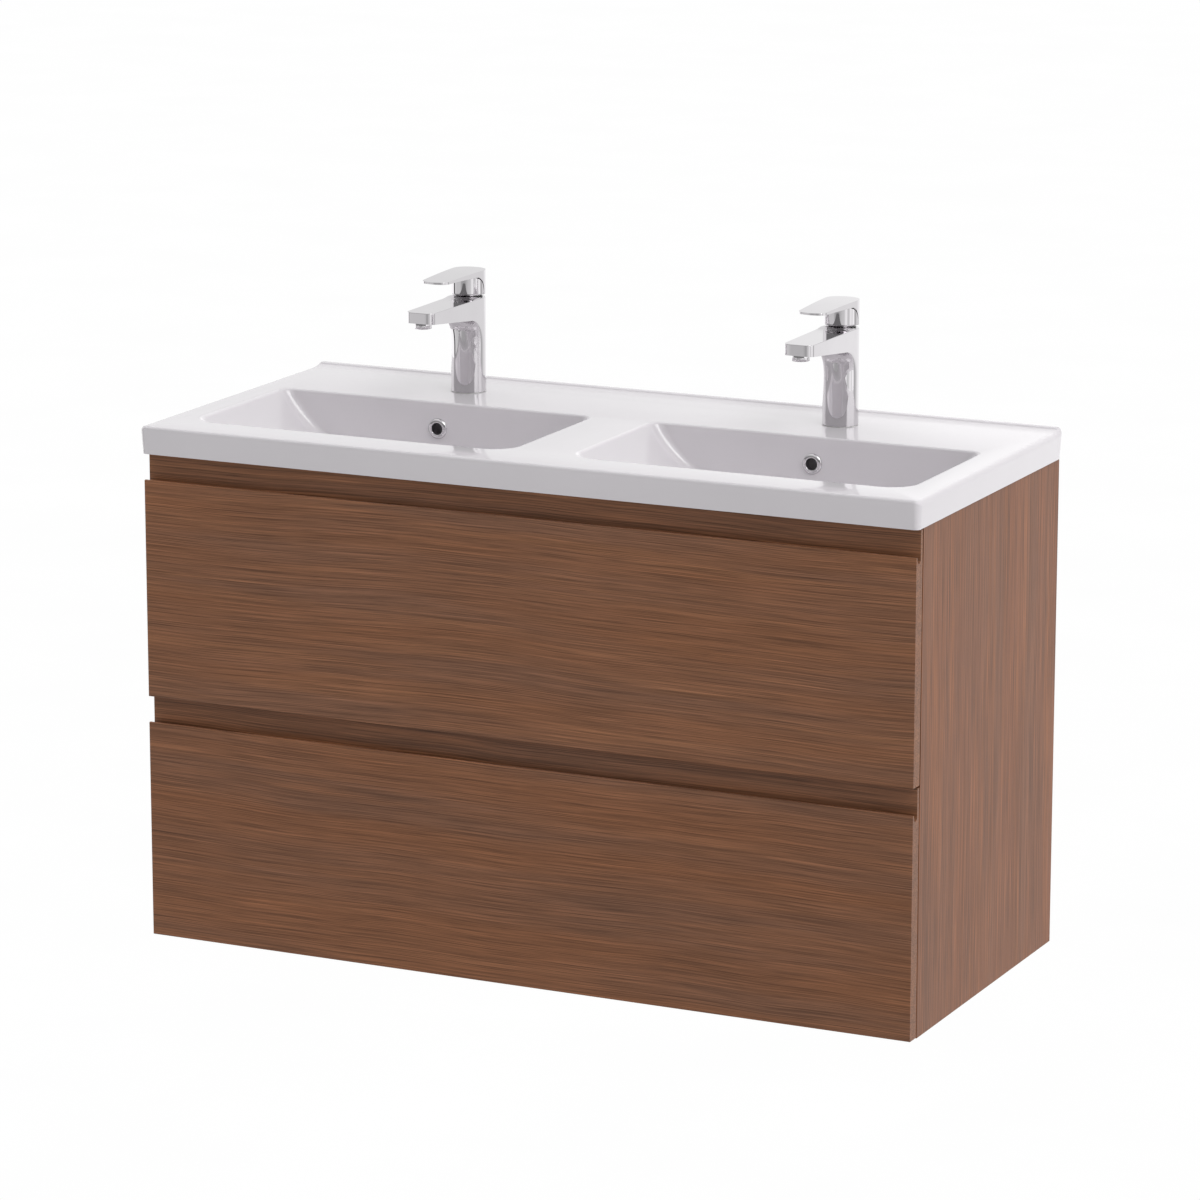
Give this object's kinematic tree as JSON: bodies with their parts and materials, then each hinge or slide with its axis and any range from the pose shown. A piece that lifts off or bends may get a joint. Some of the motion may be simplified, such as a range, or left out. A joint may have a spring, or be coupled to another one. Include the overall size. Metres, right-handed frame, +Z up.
{
  "type": "bathroom vanity cabinet",
  "caption": "Wall-hung bathroom vanity with stacked wide drawers, milled finger grips, a ceramic basin with twin bowls and single-lever mixer taps",
  "frame": {"origin": "on the wall plane, midway between the four wall screws", "axes": "+X across the width to the viewer's right, +Y back into the wall, +Z up; the drawers open towards -Y"},
  "size_m": [1.01, 0.454, 0.7885],
  "materials": {
    "walnut_panel": "vertical walnut grain, matt laminate",
    "walnut_front": "horizontal walnut grain, matt laminate",
    "zinc_fitting": "zinc plated",
    "runner_steel": "zinc plated, satin",
    "drawer_board": "light grey foil on board",
    "bumper_plastic": "soft, translucent white",
    "ceramic": "glossy white glaze",
    "tap_chrome": "polished",
    "waste_chrome": "polished",
    "seal_rubber": "matt black",
    "pipe_plastic": "white, slightly glossy",
    "cartridge_plastic": "pale grey",
    "fixing_brass": "bright"
  },
  "bodies": {
    "cabinet": {"side_panel_left": "walnut_panel", "side_panel_right": "walnut_panel", "bottom_panel": "walnut_panel", "front_rail": "walnut_panel", "back_rail_upper": "walnut_panel", "back_rail_lower": "walnut_panel", "cam_fasteners": "zinc_fitting", "hanging_bracket_left": "zinc_fitting", "hanging_bracket_right": "zinc_fitting", "wall_plate_left": "zinc_fitting", "wall_plate_right": "zinc_fitting", "lower_runner_channels": "runner_steel", "upper_runner_channels": "runner_steel", "basin": "ceramic", "tap_body_left": "tap_chrome", "overflow_ring_left": "tap_chrome", "tap_body_right": "tap_chrome", "overflow_ring_right": "tap_chrome", "aerators": "tap_chrome", "waste_left": "waste_chrome", "waste_right": "waste_chrome", "waste_seals": "seal_rubber", "tap_gaskets": "seal_rubber", "waste_nuts": "pipe_plastic", "trap_inlet_left": "pipe_plastic", "trap_bottle_left": "pipe_plastic", "trap_outlet_left": "pipe_plastic", "trap_inlet_right": "pipe_plastic", "trap_bottle_right": "pipe_plastic", "trap_outlet_right": "pipe_plastic", "trap_cups": "pipe_plastic", "trap_nuts": "pipe_plastic", "cartridge_left": "cartridge_plastic", "cartridge_right": "cartridge_plastic", "tap_fixings": "fixing_brass"},
    "lower_drawer": {"lower_front": "walnut_front", "lower_side_left": "drawer_board", "lower_side_right": "drawer_board", "lower_back": "drawer_board", "lower_bottom": "drawer_board", "lower_brackets": "zinc_fitting", "lower_bumpers": "bumper_plastic", "lower_runner_slides": "runner_steel"},
    "lower_runner": {"lower_runner_middles": "runner_steel"},
    "upper_drawer": {"upper_front": "walnut_front", "upper_side_left": "drawer_board", "upper_side_right": "drawer_board", "upper_back": "drawer_board", "upper_bottom": "drawer_board", "upper_brackets": "zinc_fitting", "upper_bumpers": "bumper_plastic", "upper_runner_slides": "runner_steel"},
    "upper_runner": {"upper_runner_middles": "runner_steel"},
    "left_tap_hub": {"tap_hub_left": "tap_chrome"},
    "left_tap_lever": {"tap_lever_left": "tap_chrome"},
    "left_plug": {"waste_plug_left": "waste_chrome"},
    "right_tap_hub": {"tap_hub_right": "tap_chrome"},
    "right_tap_lever": {"tap_lever_right": "tap_chrome"},
    "right_plug": {"waste_plug_right": "waste_chrome"}
  },
  "joints": [
    {"name": "lower_drawer_slide", "type": "slide", "parent": "cabinet", "child": "lower_drawer", "axis": [0, -1, 0], "range_m": [0, 0.33]},
    {"name": "lower_runner_middle_slide", "type": "slide", "parent": "cabinet", "child": "lower_runner", "axis": [0, -1, 0], "range_m": [0, 0.165]},
    {"name": "upper_drawer_slide", "type": "slide", "parent": "cabinet", "child": "upper_drawer", "axis": [0, -1, 0], "range_m": [0, 0.33]},
    {"name": "upper_runner_middle_slide", "type": "slide", "parent": "cabinet", "child": "upper_runner", "axis": [0, -1, 0], "range_m": [0, 0.165]},
    {"name": "left_tap_swivel", "type": "hinge", "parent": "cabinet", "child": "left_tap_hub", "pos_m": [-0.25, -0.082, 0.213], "axis": [0, 0, 1], "range_deg": [-50, 50]},
    {"name": "left_tap_lift", "type": "hinge", "parent": "left_tap_hub", "child": "left_tap_lever", "pos_m": [-0.25, -0.074, 0.2194], "axis": [-1, 0, 0], "range_deg": [0, 15]},
    {"name": "left_plug_slide", "type": "slide", "parent": "cabinet", "child": "left_plug", "axis": [0, 0, 1], "range_m": [0, 0.008]},
    {"name": "right_tap_swivel", "type": "hinge", "parent": "cabinet", "child": "right_tap_hub", "pos_m": [0.25, -0.082, 0.213], "axis": [0, 0, 1], "range_deg": [-50, 50]},
    {"name": "right_tap_lift", "type": "hinge", "parent": "right_tap_hub", "child": "right_tap_lever", "pos_m": [0.25, -0.074, 0.2194], "axis": [-1, 0, 0], "range_deg": [0, 15]},
    {"name": "right_plug_slide", "type": "slide", "parent": "cabinet", "child": "right_plug", "axis": [0, 0, 1], "range_m": [0, 0.008]}
  ],
  "couplings": [
    {"joint": "lower_runner_middle_slide", "follows": "lower_drawer_slide", "ratio": 0.5},
    {"joint": "upper_runner_middle_slide", "follows": "upper_drawer_slide", "ratio": 0.5}
  ]
}
